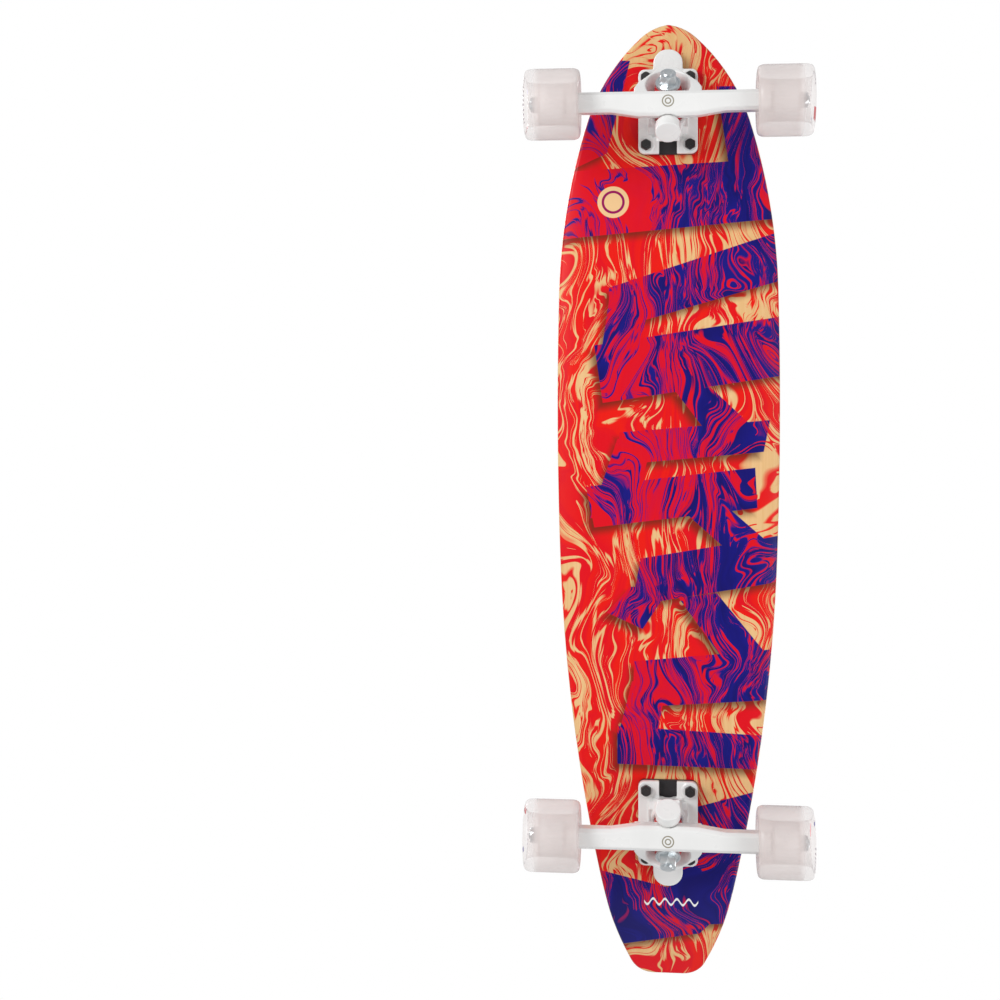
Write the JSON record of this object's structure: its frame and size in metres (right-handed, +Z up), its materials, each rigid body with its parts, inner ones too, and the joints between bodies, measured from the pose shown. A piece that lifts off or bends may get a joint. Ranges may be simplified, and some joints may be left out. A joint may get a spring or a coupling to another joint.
{
  "type": "longboard skateboard",
  "caption": "Longboard skateboard with a pointed nose, raised kicktail, shallow concave, cushioned steering trucks and translucent soft wheels.",
  "frame": {"origin": "on the ground, under the middle of the deck's length and width", "axes": "+X towards the nose, +Y to the rider's left when facing the nose, +Z up from the ground"},
  "size_m": [0.915, 0.262, 0.1408],
  "materials": {
    "deck_wood": "clear lacquer over a marbled print",
    "grip": "coarse grit",
    "black_rubber": "matt",
    "white_paint": "gloss",
    "zinc_steel": "bright zinc",
    "black_steel": "black oxide",
    "red_urethane": "glossy",
    "clear_urethane": "translucent, satin",
    "core_plastic": "satin",
    "bearing_steel": "ground",
    "bearing_shield": "matt",
    "cage_plastic": "matt",
    "pivot_plastic": "matt"
  },
  "bodies": {
    "root": {"deck": "deck_wood", "grip_tape": "grip", "front_riser_pad": "black_rubber", "front_baseplate": "white_paint", "front_pivot_cup": "pivot_plastic", "front_kingpin": "zinc_steel", "front_kingpin_nut": "zinc_steel", "front_deck_bushing": "red_urethane", "front_road_bushing": "red_urethane", "front_deck_washer": "zinc_steel", "front_road_washer": "zinc_steel", "front_mounting_bolts": "black_steel", "front_mounting_nuts": "zinc_steel", "rear_riser_pad": "black_rubber", "rear_baseplate": "white_paint", "rear_pivot_cup": "pivot_plastic", "rear_kingpin": "zinc_steel", "rear_kingpin_nut": "zinc_steel", "rear_deck_bushing": "red_urethane", "rear_road_bushing": "red_urethane", "rear_deck_washer": "zinc_steel", "rear_road_washer": "zinc_steel", "rear_mounting_bolts": "black_steel", "rear_mounting_nuts": "zinc_steel"},
    "front_truck": {"front_hanger": "white_paint", "front_axle": "zinc_steel", "front_axle_nuts": "zinc_steel", "front_speed_washers": "zinc_steel", "front_bearing_spacers": "zinc_steel", "front_bearing_inner_rings": "bearing_steel"},
    "front_left_wheel": {"front_left_tyre": "clear_urethane", "front_left_core": "core_plastic", "front_left_bearing_outer_rings": "bearing_steel", "front_left_bearing_shields": "bearing_shield"},
    "front_left_ball_set": {"front_left_bearing_balls": "bearing_steel", "front_left_bearing_cages": "cage_plastic"},
    "front_right_wheel": {"front_right_tyre": "clear_urethane", "front_right_core": "core_plastic", "front_right_bearing_outer_rings": "bearing_steel", "front_right_bearing_shields": "bearing_shield"},
    "front_right_ball_set": {"front_right_bearing_balls": "bearing_steel", "front_right_bearing_cages": "cage_plastic"},
    "rear_truck": {"rear_hanger": "white_paint", "rear_axle": "zinc_steel", "rear_axle_nuts": "zinc_steel", "rear_speed_washers": "zinc_steel", "rear_bearing_spacers": "zinc_steel", "rear_bearing_inner_rings": "bearing_steel"},
    "rear_left_wheel": {"rear_left_tyre": "clear_urethane", "rear_left_core": "core_plastic", "rear_left_bearing_outer_rings": "bearing_steel", "rear_left_bearing_shields": "bearing_shield"},
    "rear_left_ball_set": {"rear_left_bearing_balls": "bearing_steel", "rear_left_bearing_cages": "cage_plastic"},
    "rear_right_wheel": {"rear_right_tyre": "clear_urethane", "rear_right_core": "core_plastic", "rear_right_bearing_outer_rings": "bearing_steel", "rear_right_bearing_shields": "bearing_shield"},
    "rear_right_ball_set": {"rear_right_bearing_balls": "bearing_steel", "rear_right_bearing_cages": "cage_plastic"}
  },
  "joints": [
    {"name": "front_steer", "type": "hinge", "parent": "root", "child": "front_truck", "pos_m": [0.3794, 0, 0.0595], "axis": [0.7431, 0, 0.6691], "range_deg": [-20, 20], "stiffness_Nm_per_rad": 40, "deforming": ["front_deck_bushing", "front_road_bushing"]},
    {"name": "front_left_spin", "type": "hinge", "parent": "front_truck", "child": "front_left_wheel", "pos_m": [0.3722, 0.1055, 0.0325], "axis": [0, 1, 0], "continuous": true},
    {"name": "front_left_ball_orbit", "type": "hinge", "parent": "front_truck", "child": "front_left_ball_set", "pos_m": [0.3722, 0.1055, 0.0325], "axis": [0, 1, 0], "continuous": true},
    {"name": "front_right_spin", "type": "hinge", "parent": "front_truck", "child": "front_right_wheel", "pos_m": [0.3722, -0.1055, 0.0325], "axis": [0, 1, 0], "continuous": true},
    {"name": "front_right_ball_orbit", "type": "hinge", "parent": "front_truck", "child": "front_right_ball_set", "pos_m": [0.3722, -0.1055, 0.0325], "axis": [0, 1, 0], "continuous": true},
    {"name": "rear_steer", "type": "hinge", "parent": "root", "child": "rear_truck", "pos_m": [-0.3061, 0, 0.0595], "axis": [-0.7431, 0, 0.6691], "range_deg": [-20, 20], "stiffness_Nm_per_rad": 40, "deforming": ["rear_deck_bushing", "rear_road_bushing"]},
    {"name": "rear_left_spin", "type": "hinge", "parent": "rear_truck", "child": "rear_left_wheel", "pos_m": [-0.2989, 0.1055, 0.0325], "axis": [0, 1, 0], "continuous": true},
    {"name": "rear_left_ball_orbit", "type": "hinge", "parent": "rear_truck", "child": "rear_left_ball_set", "pos_m": [-0.2989, 0.1055, 0.0325], "axis": [0, 1, 0], "continuous": true},
    {"name": "rear_right_spin", "type": "hinge", "parent": "rear_truck", "child": "rear_right_wheel", "pos_m": [-0.2989, -0.1055, 0.0325], "axis": [0, 1, 0], "continuous": true},
    {"name": "rear_right_ball_orbit", "type": "hinge", "parent": "rear_truck", "child": "rear_right_ball_set", "pos_m": [-0.2989, -0.1055, 0.0325], "axis": [0, 1, 0], "continuous": true}
  ],
  "couplings": [
    {"joint": "front_left_ball_orbit", "follows": "front_left_spin", "ratio": 0.6275},
    {"joint": "front_right_ball_orbit", "follows": "front_right_spin", "ratio": 0.6275},
    {"joint": "rear_left_ball_orbit", "follows": "rear_left_spin", "ratio": 0.6275},
    {"joint": "rear_right_ball_orbit", "follows": "rear_right_spin", "ratio": 0.6275}
  ]
}
